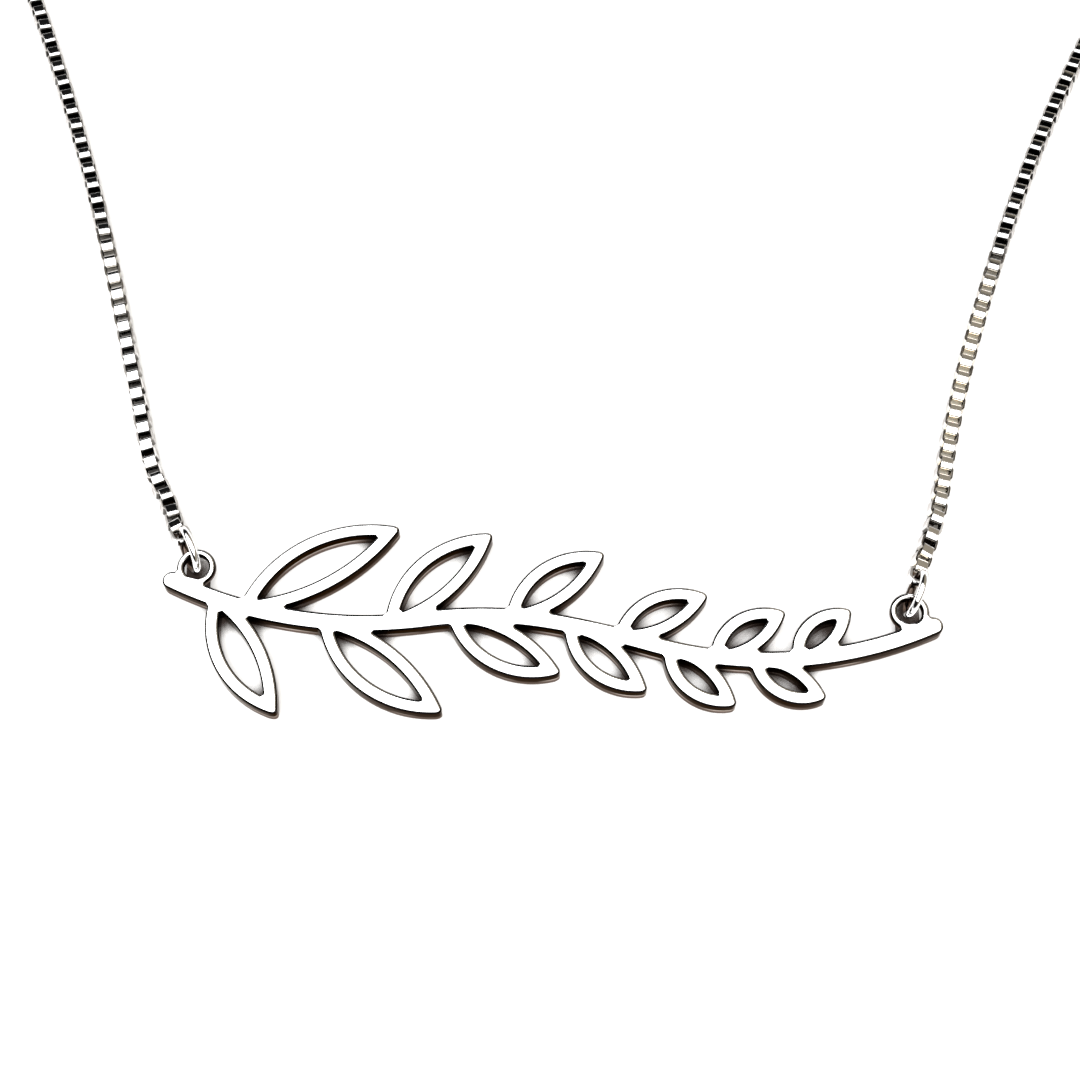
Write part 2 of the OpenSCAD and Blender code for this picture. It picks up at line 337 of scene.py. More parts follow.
RINGS = {
    "jump_ring_left": ring_over(LEFT_EYELET, EYELET_HOLE_R + EYELET_RIM_W / 2, LEFT_ROUTE[0]),
    "jump_ring_right": ring_over(RIGHT_EYELET, EYELET_HOLE_R + EYELET_RIM_W / 2, RIGHT_ROUTE[0]),
    "clasp_ring_left": ring_over((-CLASP_EYE_X, CLASP_Y), CLASP_EYE_HOLE_R + CLASP_EYE_RIM_W / 2,
                                 LEFT_ROUTE[-1]),
    "clasp_ring_right": ring_over((CLASP_R, CLASP_Y), 0, RIGHT_ROUTE[-1])}


def ring_frame(ring):
    """A ring's centre, and its own directions: along its chain, out of its plane and up."""
    place, way = RINGS[ring]
    cos, sin = math.cos(RING_LEAN), math.sin(RING_LEAN)
    beside = np.array([-way[1] * cos, way[0] * cos, sin])
    up = np.array([way[1] * sin, -way[0] * sin, cos])
    return np.array([*place, RING_Z]), np.array([*way, 0]), beside, up


# Distances in the plane: below nil inside a shape, above nil outside it

def round_join(a, b, radius):
    """Two shapes joined, with a fillet where they meet."""
    fillet = np.hypot(np.maximum(radius - a, 0), np.maximum(radius - b, 0))
    return np.maximum(radius, np.minimum(a, b)) - fillet


def round_overlap(a, b, radius):
    """What two shapes share, with its corners rounded."""
    corner = np.hypot(np.maximum(radius + a, 0), np.maximum(radius + b, 0))
    return np.minimum(-radius, np.maximum(a, b)) + corner


def to_disc(points, centre, radius):
    """Distance to the edge of a disc."""
    return np.linalg.norm(points - np.array(centre), axis=1) - radius


def to_arc(points, start, radius, run):
    """Distance to the line of an arc."""
    x, y, heading = start
    centre = np.array([x - radius * math.sin(heading), y + radius * math.cos(heading)])
    first = np.array([x, y]) - centre
    spokes = points - centre
    turned = np.arctan2(first[0] * spokes[:, 1] - first[1] * spokes[:, 0], spokes @ first)
    turned *= math.copysign(1, radius)
    end = along(start, radius, run)
    past_end = np.minimum(to_disc(points, (x, y), 0), to_disc(points, end[:2], 0))
    beside = np.abs(to_disc(points, centre, abs(radius)))
    return np.where((turned >= 0) & (turned <= run / abs(radius)), beside, past_end)


def leaf_distance(points, place, side, share, lean_degrees):
    """A leaf drawn in outline: two bows, filed to a point, round a pointed opening."""
    x, y, heading = stem_at(place * STEM_L)
    long = share * LEAF_L
    width = side * (LEAF_OPEN * long + LEAF_LINE_W)
    turn = heading + side * math.radians(lean_degrees)
    foot = np.array([x - side * LEAF_FOOT * math.sin(heading),
                     y + side * LEAF_FOOT * math.cos(heading)])
    cos, sin = math.cos(turn), math.sin(turn)
    local = (points - foot) @ np.array([[cos, -sin], [sin, cos]])
    bows = []
    for rise in (width * LEAF_BELLY, width * (LEAF_BELLY - 1)):
        radius = (long * long / 4 + rise * rise) / 2 / abs(rise)
        bows.append(to_disc(local, (long / 2, rise - math.copysign(radius, rise)), radius))
    half = LEAF_LINE_W / 2
    form = round_overlap(bows[0] - half, bows[1] - half, TIP_R)
    form = round_overlap(form, to_disc(local, (0, 0), long + LEAF_POINT), NOSE_R)
    opening = round_overlap(bows[0] + half, bows[1] + half, HOLE_END_R)
    return np.maximum(form, -opening)


def sprig_distance(points):
    """The stem and its leaves, without the eyelets."""
    shape = np.min([to_arc(points, *arc) for arc in LEFT_ARCS + RIGHT_ARCS], axis=0) - STEM_W / 2
    for leaf in LEAVES:
        shape = round_join(shape, leaf_distance(points, *leaf), CROTCH_R)
    return shape


def plate_distance(points):
    """The whole plate: the sprig with both eyelets and their holes."""
    shape = sprig_distance(points)
    for eyelet in (LEFT_EYELET, RIGHT_EYELET):
        shape = round_join(shape, to_disc(points, eyelet, EYELET_R), EYELET_FILLET_R)
    for eyelet in (LEFT_EYELET, RIGHT_EYELET):
        shape = np.maximum(shape, -to_disc(points, eyelet, EYELET_HOLE_R))
    return shape


def slope_of(distance, points):
    """The direction away from the shape, and the steepness of its distance."""
    slope = np.stack([distance(points + step) - distance(points - step)
                      for step in np.eye(2) * SLOPE_REACH], axis=1)
    slope /= 2 * SLOPE_REACH
    steep = np.linalg.norm(slope, axis=1, keepdims=True)
    return slope / np.maximum(steep, NEARLY_FLAT), steep


def settle(distance, points, rounds=4):
    """Moves points onto the shape's outline."""
    for _ in range(rounds):
        away, steep = slope_of(distance, points)
        points = points - away * (distance(points)[:, None] / np.maximum(steep, LEAST_STEEPNESS))
    return points


# Outlines as loops of points

def crossings(distance, low, high):
    """Where a grid's lines cross the outline, and which crossings are neighbours."""
    xs = np.arange(low[0], high[0], GRID_STEP)
    ys = np.arange(low[1], high[1], GRID_STEP)
    nodes = np.stack(np.meshgrid(xs, ys, indexing="ij"), axis=-1)
    values = distance(nodes.reshape(-1, 2)).reshape(len(xs), len(ys))
    inside = values < 0
    corners = inside[:-1, :-1] * 1 + inside[1:, :-1] + inside[1:, 1:] + inside[:-1, 1:]
    places = {}
    links = {}
    for i, j in np.argwhere((corners > 0) & (corners < 4)):
        square = [(i, j), (i + 1, j), (i + 1, j + 1), (i, j + 1)]
        cut = []
        for k in range(4):
            a, b = sorted((square[k], square[(k + 1) % 4]))
            if inside[a] != inside[b]:
                cut.append((a, b))
                share = values[a] / (values[a] - values[b])
                places[(a, b)] = nodes[a] + share * (nodes[b] - nodes[a])
        if len(cut) == 4:
            middle = np.mean([values[corner] for corner in square]) < 0
            cut = cut if middle == inside[square[0]] else cut[3:] + cut[:3]
        for a, b in zip(cut[::2], cut[1::2]):
            links.setdefault(a, []).append(b)
            links.setdefault(b, []).append(a)
    return places, links


def outlines(distance, low, high):
    """The shape's outlines as closed loops with even steps, with the metal on their left."""
    places, links = crossings(distance, low, high)
    loops = []
    while links:
        key = next(iter(links))
        chain = []
        while key in links:
            chain.append(places[key])
            ahead = [other for other in links.pop(key) if other in links]
            key = ahead[0] if ahead else None
        points = settle(distance, np.array(chain))
        steps = np.linalg.norm(np.roll(points, -1, axis=0) - points, axis=1)
        walked = np.concatenate([[0], np.cumsum(steps)])
        count = max(LEAST_STEPS, round(walked[-1] / OUTLINE_STEP))
        stops = np.arange(count) * walked[-1] / count
        closed = np.vstack([points, points[:1]])
        points = np.stack([np.interp(stops, walked, closed[:, axis]) for axis in range(2)], axis=1)
        points = settle(distance, points)
        away, _ = slope_of(distance, points)
        ahead = np.roll(points, -1, axis=0) - points
        if np.sum(ahead[:, 0] * away[:, 1] - ahead[:, 1] * away[:, 0]) > 0:
            points = points[::-1]
        loops.append(points)
    return loops


# Meshes

def new_piece(name, points, faces, normals=None, **attributes):
    """A smooth mesh object, with its own normals and a number for each point where given."""
    mesh = bpy.data.meshes.new(name)
    mesh.from_pydata(np.asarray(points).tolist(), [], [list(map(int, face)) for face in faces])
    mesh.polygons.foreach_set("use_smooth", [True] * len(mesh.polygons))
    for key, values in attributes.items():
        layer = mesh.attributes.new(key, "FLOAT", "POINT")
        layer.data.foreach_set("value", np.asarray(values, dtype=np.float32))
    mesh.update()
    if normals is not None:
        mesh.normals_split_custom_set_from_vertices(np.asarray(normals).tolist())
    piece = bpy.data.objects.new(name, mesh)
    bpy.context.scene.collection.objects.link(piece)
    return piece


def cap(loops, keep):
    """Triangles that fill the loops where keep finds the shape, as lists of point numbers."""
    mm = 1000
    flat = [Vector((float(x) * mm, float(y) * mm)) for loop in loops for x, y in loop]
    edges = []
    start = 0
    for loop in loops:
        edges += [(start + i, start + (i + 1) % len(loop)) for i in range(len(loop))]
        start += len(loop)
    found = delaunay_2d_cdt(flat, edges, [], 0, CAP_ACCURACY)
    source = [rows[0] if rows else None for rows in found[3]]
    faces = [[source[i] for i in face] for face in found[2]]
    faces = [face for face in faces if None not in face]
    corners = np.vstack(loops)
    centres = np.array([corners[face].mean(axis=0) for face in faces])
    return [face for face, kept in zip(faces, keep(centres)) if kept]


def sweep_faces(rings, ring_size, closed_rings=True, closed_sweep=False, start=0):
    """Quads between rings of points that follow each other."""
    faces = []
    for i in range(rings if closed_sweep else rings - 1):
        a = start + i * ring_size
        b = start + (i + 1) % rings * ring_size
        for k in range(ring_size if closed_rings else ring_size - 1):
            after = (k + 1) % ring_size
            faces.append((a + k, a + after, b + after, b + k))
    return faces


def build_nameplate():
    """The openwork plate: a thick flat sheet with polished edges, and two thinner eyelets."""
    low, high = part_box("nameplate")
    loops = outlines(plate_distance, np.array(low)[:2] - GRID_MARGIN,
                     np.array(high)[:2] + GRID_MARGIN)
    bottom = [(math.pi / 2 * (1 - k / FOOT_EDGE_STEPS), FOOT_EDGE_R, -1)
              for k in range(FOOT_EDGE_STEPS + 1)]
    top = [(math.pi / 2 * k / TOP_EDGE_STEPS, TOP_EDGE_R, 1) for k in range(TOP_EDGE_STEPS + 1)]
    points, faces, normals, side, height = [], [], [], [], []
    first_loops, last_loops = [], []
    first_numbers, last_numbers = [], []
    for loop in loops:
        away, _ = slope_of(plate_distance, loop)
        off_sprig = np.clip(sprig_distance(loop) / STEP_DOWN, 0, 1)
        under = EYELET_Z * off_sprig * off_sprig * (3 - 2 * off_sprig)
        start = len(points)
        for tilt, radius, up in bottom + top:
            inset = loop - away * radius * (1 - math.cos(tilt))
            rim = radius * (1 - math.sin(tilt))
            level = np.full(len(loop), PLATE_T - rim) if up > 0 else under + rim
            points += np.column_stack([inset, level]).tolist()
            lifts = np.full(len(loop), up * math.sin(tilt))
            normals += np.column_stack([away * math.cos(tilt), lifts]).tolist()
            # side and height place the painted reflections and highlights on the plate's sides and
            # rounded edges
            side += [math.cos(tilt) if up > 0 else 1.0] * len(loop)
            height += ((level - under) / (PLATE_T - under)).tolist()
        rings = len(bottom) + len(top)
        faces += sweep_faces(rings, len(loop), start=start)
        first_loops.append(np.array(points[start:start + len(loop)])[:, :2])
        last_loops.append(np.array(points[-len(loop):])[:, :2])
        first_numbers += range(start, start + len(loop))
        last_numbers += range(len(points) - len(loop), len(points))
    for face in cap(last_loops, lambda at: plate_distance(at) < -TOP_EDGE_R / 2):
        faces.append([last_numbers[i] for i in face])
    for face in cap(first_loops, lambda at: plate_distance(at) < -FOOT_EDGE_R / 2):
        faces.append([first_numbers[i] for i in reversed(face)])
    return new_piece("nameplate_sprig", points, faces, normals, side=side, height=height)


def strip_link(long, wide, strip_t, strip_w, fold_r, fold_steps, edge_r, dark_folds):
    """A link folded from a strip: its points, normals and faces, and the share of each point in
    the painted shade of its inside and, where dark_folds is set, its folds, and in the strip's cut
    edges.

    It lies along X, is wide along Y, and its strip's width is along Z."""
    middle_r = fold_r - strip_t / 2
    a = long / 2 - fold_r
    b = wide / 2 - fold_r
    half_t = strip_t / 2
    half_w = strip_w / 2
    section = [(half_t, -half_w + edge_r, 1, 0), (half_t, half_w - edge_r, 1, 0),
               (half_t - edge_r, half_w, 0, 1), (edge_r - half_t, half_w, 0, 1),
               (-half_t, half_w - edge_r, -1, 0), (-half_t, edge_r - half_w, -1, 0),
               (edge_r - half_t, -half_w, 0, -1), (half_t - edge_r, -half_w, 0, -1)]
    # The strip's inner faces take painted shade
    inside = [0, 0, 0, 0, 1, 1, 0, 0]
    points, normals, inner, cut = [], [], [], []
    for corner in range(4):
        quarter = math.pi / 2 * corner
        x = math.copysign(a, math.cos(quarter + math.pi / 4))
        y = math.copysign(b, math.sin(quarter + math.pi / 4))
        for step in range(fold_steps + 1):
            turn = quarter + math.pi / 2 * step / fold_steps
            domed = quarter + math.radians(
                LINK_DOME_DEGREES + (90 - 2 * LINK_DOME_DEGREES) * step / fold_steps)
            cos, sin = math.cos(domed), math.sin(domed)
            # Painted shade on the folds where they turn in among the neighbouring links
            hidden = min(max((abs(cos) - LINK_DARK_FROM) / (LINK_DARK_TO - LINK_DARK_FROM), 0), 1)
            hidden *= dark_folds
            for (off, lift, facing, rising), dark in zip(section, inside):
                reach = middle_r + off
                points.append((x + reach * math.cos(turn), y + reach * math.sin(turn), lift))
                normals.append((cos * facing, sin * facing, rising))
                inner.append(max(dark, hidden))
                cut.append(abs(rising))
    faces = sweep_faces(4 * (fold_steps + 1), len(section), closed_sweep=True)
    faces = [tuple(reversed(face)) for face in faces]
    return np.array(points), np.array(normals), faces, {"inner": inner, "cut": cut}


def smooth_line(points):
    """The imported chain's own smooth line through its points, that stays on the table."""
    line = []
    for i in range(len(points) - 1):
        a, b, c, d = (points[max(i - 1, 0)], points[i], points[i + 1],
                      points[min(i + 2, len(points) - 1)])
        for k in range(LINE_STEPS):
            t = k / LINE_STEPS
            at = (2 * b + (c - a) * t + (2 * a - 5 * b + 4 * c - d) * t * t
                  + (3 * b - a - 3 * c + d) * t * t * t) / 2
            line.append((at[0], at[1], max(at[2], CHAIN_W / 2)))
    line.append(tuple(points[-1]))
    return line


def beyond_ring(ring, reach):
    """A point past a ring's outer side, on the line in which its end link hangs."""
    centre, ahead, _, up = ring_frame(ring)
    return centre + reach * (ahead * math.cos(END_LINK_DROP) - up * math.sin(END_LINK_DROP))


def landing_of(ring):
    """The point past a ring where its chain has come down to the table."""
    place, way = RINGS[ring]
    flat = place + way * (CHAIN_REACH * math.cos(END_LINK_DROP) + LANDING)
    return np.array([flat[0], flat[1], CHAIN_W / 2])


def along_strand(walked, table, column):
    """A column of a strand's table at distances from the plate, which are its first column."""
    return np.interp(walked, [row[0] for row in table], [row[column] for row in table])


def build_chain(name, front, route, back, table, seed):
    """A box chain: square links that hang in each other, each turned a quarter from the last."""
    points = [beyond_ring(front, CHAIN_REACH), landing_of(front)]
    points += [np.array([x, y, CHAIN_W / 2]) for x, y in route]
    points += [landing_of(back), beyond_ring(back, CHAIN_REACH)]
    first_bar = RING_R + LINK_IN
    line = np.array([beyond_ring(front, first_bar), *smooth_line(points),
                     beyond_ring(back, first_bar)])
    steps = np.linalg.norm(np.diff(line, axis=0), axis=1)
    walked = np.concatenate([[0], np.cumsum(steps)])
    room = walked[-1] - LINK_L
    gaps = 2 * round(room / LINK_PITCH / 2)
    stops = LINK_L / 2 + np.arange(gaps + 1) * room / gaps

    def on_line(at):
        """The line's points at distances along it."""
        return np.stack([np.interp(at, walked, line[:, axis]) for axis in range(3)], axis=1)

    middle = on_line(stops)
    ahead = on_line(stops + LINK_PITCH / 2) - on_line(stops - LINK_PITCH / 2)
    ahead /= np.linalg.norm(ahead, axis=1, keepdims=True)
    aside = np.cross(ahead, (0, 0, 1))
    aside /= np.linalg.norm(aside, axis=1, keepdims=True)
    above = np.cross(aside, ahead)

    random = np.random.default_rng(seed)
    roll = np.radians(along_strand(stops, table, 1)) + random.normal(0, LINK_JITTER, len(stops))
    # tone carries the strand's painted paleness, with a little random tone from link to link
    tone = along_strand(stops, table, 2) + random.normal(0, LINK_TONE_JITTER, len(stops))
    ahead = (ahead + random.normal(0, LINK_JITTER, (len(stops), 1)) * aside
             + random.normal(0, LINK_NOD_JITTER, (len(stops), 1)) * above)
    ahead /= np.linalg.norm(ahead, axis=1, keepdims=True)
    half_w = LINK_STRIP_W / 2
    tall = np.maximum(
        CHAIN_W / 2 * np.abs(np.cos(roll)) + half_w * np.abs(np.sin(roll)),
        CHAIN_W / 2 * np.abs(np.sin(roll)) + half_w * np.abs(np.cos(roll)))
    middle[:, 2] = np.maximum(middle[:, 2], tall)

    quarter = roll + math.pi / 2 * (np.arange(len(stops)) % 2 == 0)
    axis_y = aside * np.cos(quarter)[:, None] + above * np.sin(quarter)[:, None]
    axis_z = np.cross(ahead, axis_y)
    axis_z /= np.linalg.norm(axis_z, axis=1, keepdims=True)
    axis_y = np.cross(axis_z, ahead)
    base, base_normals, base_faces, shares = strip_link(
        LINK_L, CHAIN_W, LINK_STRIP_T, LINK_STRIP_W, LINK_FOLD_R, LINK_FOLD_STEPS,
        LINK_EDGE_R, True)
    axes = np.stack([ahead, axis_y, axis_z], axis=1)
    places = middle[:, None, :] + np.einsum("pk,nkc->npc", base, axes)
    normals = np.einsum("pk,nkc->npc", base_normals, axes)
    numbers = np.arange(len(stops))[:, None, None] * len(base) + np.array(base_faces)[None]
    return new_piece(name, places.reshape(-1, 3), numbers.reshape(-1, 4), normals.reshape(-1, 3),
                     tone=np.repeat(tone, len(base)),
                     **{key: np.tile(values, len(stops)) for key, values in shares.items()})


def build_end_link(name, ring):
    """The short link between a ring and its chain, that hangs down from the ring."""
    long = LINK_IN + LINK_OUT + 2 * END_LINK_T
    points, normals, faces, shares = strip_link(
        long, END_LINK_W, END_LINK_T, END_LINK_STRIP_W, END_LINK_FOLD_R, END_LINK_FOLD_STEPS,
        2 * LINK_EDGE_R, False)
    _, ahead, beside, up = ring_frame(ring)
    cos, sin = math.cos(END_LINK_DROP), math.sin(END_LINK_DROP)
    axes = np.array([ahead * cos - up * sin, beside, ahead * sin + up * cos])
    centre = beyond_ring(ring, RING_R + (LINK_OUT - LINK_IN) / 2)
    return new_piece(name, centre + points @ axes, faces, normals @ axes, **shares)


def build_ring(name, ring):
    """A jump ring: round wire, bent to a circle, with its cut ends almost touching."""
    middle, ahead, beside, up = ring_frame(ring)
    gap = RING_CUT / RING_R / 2
    points, normals, inner = [], [], []
    for i in range(RING_STEPS + 1):
        turn = RING_CUT_AT + gap + (math.tau - 2 * gap) * i / RING_STEPS
        out = ahead * math.cos(turn) + up * math.sin(turn)
        for k in range(WIRE_SIDES):
            around = math.tau * k / WIRE_SIDES
            normal = out * math.cos(around) + beside * math.sin(around)
            points.append(middle + RING_R * out + WIRE_R * normal)
            normals.append(normal)
            # Painted shade on the wire's inner side, on its part below the plate's top, and on its
            # cut ends
            low = (PLATE_T - points[-1][2]) / WIRE_R
            inner.append(min(max(-math.cos(around), low), 1))
    faces = sweep_faces(RING_STEPS + 1, WIRE_SIDES)
    for first, facing in ((0, -1), (RING_STEPS * WIRE_SIDES, 1)):
        turn = RING_CUT_AT - facing * gap
        end = (up * math.cos(turn) - ahead * math.sin(turn)) * facing
        rim = range(len(points), len(points) + WIRE_SIDES)
        faces.append(list(rim)[::facing])
        points += points[first:first + WIRE_SIDES]
        normals += [end] * WIRE_SIDES
        inner += [1] * WIRE_SIDES
    return new_piece(name, points, faces, normals, inner=inner)


def tube_round(middle_r, stations, sides):
    """A closed tube round the Z axis, from its turn in degrees and its radius at each station."""
    points = []
    for degrees, radius in stations:
        turn = math.radians(degrees)
        out = np.array([math.cos(turn), math.sin(turn), 0])
        for k in range(sides):
            around = math.tau * k / sides
            points.append(out * (middle_r + radius * math.cos(around))
                          + np.array([0, 0, radius * math.sin(around)]))
    faces = sweep_faces(len(stations), sides, closed_sweep=True)
    return new_piece("tube", points, faces)


def lathed(profile, sides, closed=False):
    """A solid turned round the Z axis, from a row of radius and height."""
    turns = [math.tau * k / sides for k in range(sides)]
    points = [(radius * math.cos(turn), radius * math.sin(turn), height)
              for turn in turns for radius, height in profile]
    count = len(profile)
    faces = sweep_faces(sides, count, closed_rings=closed, closed_sweep=True)
    if not closed:
        faces.append([k * count for k in range(sides)][::-1])
        faces.append([k * count + count - 1 for k in range(sides)])
    return new_piece("lathed", points, faces)


def fused(first, *others):
    """One solid from several that overlap."""
    for other in others:
        joint = first.modifiers.new("union", "BOOLEAN")
        joint.operation = "UNION"
        joint.solver = "EXACT"
        joint.object = other
    depsgraph = bpy.context.evaluated_depsgraph_get()
    mesh = bpy.data.meshes.new_from_object(first.evaluated_get(depsgraph))
    for piece in (first, *others):
        bpy.data.objects.remove(piece)
    return mesh


def build_clasp():
    """A spring ring clasp as one piece: a round tube with a slimmer gate, an eye and a knob."""
    low, high = CLASP_GATE
    slim = CLASP_TUBE_R * CLASP_GATE_SHARE
    stations = [(low - CLASP_SEAM_DEGREES, CLASP_TUBE_R), (low, slim), (high, slim),
                (high + CLASP_SEAM_DEGREES, CLASP_TUBE_R)]
    for k in range(CLASP_STEPS):
        degrees = 360 * k / CLASP_STEPS
        if min(abs(degrees - low), abs(degrees - high)) > CLASP_SEAM_CLEAR_DEGREES:
            stations.append((degrees, slim if low < degrees < high else CLASP_TUBE_R))
    body = tube_round(CLASP_R, sorted(stations), CLASP_SIDES)

    inner_r, outer_r = CLASP_EYE_HOLE_R, CLASP_EYE_HOLE_R + CLASP_EYE_RIM_W
    flat = CLASP_EYE_T / 2
    edge = CLASP_EDGE_R
    rim = []
    for radius, height, turn in (
            (outer_r - edge, flat - edge, 0), (inner_r + edge, flat - edge, 90),
            (inner_r + edge, edge - flat, 180), (outer_r - edge, edge - flat, 270)):
        for step in CLASP_EDGE_DEGREES:
            angle = math.radians(turn + step)
            rim.append((radius + edge * math.cos(angle), height + edge * math.sin(angle)))
    eye = lathed(rim, 2 * CLASP_SIDES, closed=True)
    eye.location = (-CLASP_EYE_X, 0, 0)

    knob_end = CLASP_TUBE_R + CLASP_KNOB_L
    neck = CLASP_NECK_SHARE * CLASP_KNOB_R
    head = [(CLASP_KNOB_R * math.cos(math.radians(step)),
             knob_end - CLASP_KNOB_R * (1 - math.sin(math.radians(step))))
            for step in range(0, 90, CLASP_HEAD_STEP_DEGREES)]
    stalk = [(neck, 0), (neck, knob_end - 2 * CLASP_KNOB_R), (CLASP_KNOB_R, head[0][1] - neck)]
    knob = lathed(stalk + head, CLASP_SIDES)
    turn = math.radians(CLASP_KNOB_AT_DEGREES)
    knob.location = (CLASP_R * math.cos(turn), CLASP_R * math.sin(turn), 0)
    knob.rotation_euler = (0, math.pi / 2, turn)

    bpy.context.view_layer.update()
    mesh = fused(body, eye, knob)
    mesh.transform(Matrix.Translation((0, CLASP_Y, CLASP_Z))
                   @ Matrix.Rotation(CLASP_LEAN, 4, "X"))
    mesh.polygons.foreach_set("use_smooth", [True] * len(mesh.polygons))
    mesh.set_sharp_from_angle(angle=SHARP_FROM)
    # Painted shade on the clasp's sides and underside, rising as its normals turn away from up
    lifts = np.array([vertex.normal.z for vertex in mesh.vertices])
    shade = mesh.attributes.new("inner", "FLOAT", "POINT")
    shade.data.foreach_set("value", 1 - CLASP_SIDE_SHADE * lifts)
    mesh.name = "clasp_spring_ring"
    piece = bpy.data.objects.new(mesh.name, mesh)
    bpy.context.scene.collection.objects.link(piece)
    return piece


# Materials

def new_material(name):
    """A new material with its nodes, links and shader."""
    material = bpy.data.materials.new(name)
    material.use_nodes = True
    nodes = material.node_tree.nodes
    return material, nodes, material.node_tree.links, nodes["Principled BSDF"]


def noise(nodes, links, scale, detail, roughness=0.5, stretch=None):
    """A noise over the object's own coordinates, with the size of its features in metres."""
    place = nodes.new("ShaderNodeTexCoord")
    source = place.outputs["Object"]
    if stretch:
        mapping = nodes.new("ShaderNodeMapping")
        mapping.inputs["Scale"].default_value = stretch
        links.new(source, mapping.inputs["Vector"])
        source = mapping.outputs["Vector"]
    texture = nodes.new("ShaderNodeTexNoise")
    texture.inputs["Scale"].default_value = 1 / scale
    texture.inputs["Detail"].default_value = detail
    texture.inputs["Roughness"].default_value = roughness
    links.new(source, texture.inputs["Vector"])
    return texture.outputs["Fac"]


def ramp(nodes, links, source, stops):
    """A colour that changes over a source, from a row of places and colours."""
    node = nodes.new("ShaderNodeValToRGB")
    links.new(source, node.inputs["Fac"])
    elements = node.color_ramp.elements
    while len(elements) < len(stops):
        elements.new(0.5)
    for element, (place, colour) in zip(elements, stops):
        element.position = place
        element.color = (*colour, 1)
    return node.outputs["Color"]


def grey(value):
    """A colour without hue."""
    return (value, value, value)


def grey_ramp(nodes, links, source, places, values=(0, 1)):
    """A grey that goes from one value to another between two places of the source."""
    return ramp(nodes, links, source, [(at, grey(value)) for at, value in zip(places, values)])


def blend(nodes, links, factor, first, second):
    """A colour that goes from the first to the second as the factor rises."""
    node = nodes.new("ShaderNodeMix")
    node.data_type = "RGBA"
    links.new(factor, node.inputs["Factor"])
    links.new(first, node.inputs["A"])
    links.new(second, node.inputs["B"])
    return node.outputs["Result"]


def attribute(nodes, name):
    """A number that the mesh keeps for each of its points."""
    node = nodes.new("ShaderNodeAttribute")
    node.attribute_name = name
    return node.outputs["Fac"]


def silver(name, shade, shade_range, unshaded, dark, polish, scratch_size, dark_over=None, lit=None):
    """Polished silver with fine scratches. It takes a painted shade tone where its shade attribute
    is high (pale painted light in a chain's pale stretches), and is matt on cut edges, with painted
    shade there that follows the tone attribute.

    The painted shade's tone changes over a cloudy noise, or over the attribute that dark_over
    names.
    Where lit gives painted highlight tones, they take turns with the dark ones in patches."""
    material, nodes, links, shader = new_material(name)
    shader.inputs["Metallic"].default_value = 1
    shader.inputs["Specular Tint"].default_value = (*GRAZING_TINT, 1)
    cut = attribute(nodes, "cut")
    cloud = noise(nodes, links, CLOUD_SCRATCHES * scratch_size, CLOUD_DETAIL)
    over = attribute(nodes, dark_over) if dark_over else cloud
    dark_tone = ramp(nodes, links, over, dark)
    # Painted highlights that take turns with the painted shade in patches
    if lit:
        patches = noise(nodes, links, LIT_PATCH_SIZE, LIT_PATCH_DETAIL)
        turns = grey_ramp(nodes, links, patches, LIT_PATCH_RANGE)
        dark_tone = blend(nodes, links, turns, dark_tone, ramp(nodes, links, over, lit))
    # Where the shade attribute is high the base colour takes the painted shade tone
    shaded = grey_ramp(nodes, links, attribute(nodes, shade), shade_range)
    unshaded_tone = grey_ramp(nodes, links, cloud, CLOUD_RANGE, unshaded)
    cut_edge_shade = ramp(nodes, links, attribute(nodes, "tone"), CUT_EDGE_SHADE)
    tone = blend(nodes, links, shaded, unshaded_tone, dark_tone)
    links.new(blend(nodes, links, cut, tone, cut_edge_shade), shader.inputs["Base Color"])
    scratches = noise(nodes, links, scratch_size, SCRATCH_DETAIL, SCRATCH_HARSHNESS,
                      SCRATCH_STRETCH)
    finish = nodes.new("ShaderNodeMix")
    links.new(cut, finish.inputs["Factor"])
    links.new(grey_ramp(nodes, links, scratches, SCRATCH_RANGE, polish), finish.inputs["A"])
    finish.inputs["B"].default_value = CUT_ROUGHNESS
    links.new(finish.outputs["Result"], shader.inputs["Roughness"])
    bump = nodes.new("ShaderNodeBump")
    bump.inputs["Strength"].default_value = SCRATCH_BUMP
    bump.inputs["Distance"].default_value = scratch_size
    links.new(scratches, bump.inputs["Height"])
    links.new(bump.outputs["Normal"], shader.inputs["Normal"])
    return material


def floor_material(name, shaded_to=None):
    """A pale matt surface, which may have warm shade painted into its colour where it is closed in
    by metal.
    """
    material, nodes, links, shader = new_material(name)
    shader.inputs["Base Color"].default_value = (*FLOOR_PALE, 1)
    shader.inputs["Roughness"].default_value = FLOOR_ROUGHNESS
    shader.inputs["Specular IOR Level"].default_value = FLOOR_GLOSS
    if shaded_to:
        # Painted shade: the base colour darkens where ambient occlusion finds metal close by
        openness = nodes.new("ShaderNodeAmbientOcclusion")
        openness.samples = SHADE_RAYS
        openness.inputs["Distance"].default_value = SHADE_REACH
        stops = [(shaded_to - SHADE_EDGE, FLOOR_DARK), (shaded_to, FLOOR_PALE)]
        links.new(ramp(nodes, links, openness.outputs["AO"], stops), shader.inputs["Base Color"])
    return material


def dress(piece, material):
    """Gives a piece its one material and its body."""
    piece.data.materials.clear()
    piece.data.materials.append(material)
    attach(piece, "root")


# The camera, the floor and the lights

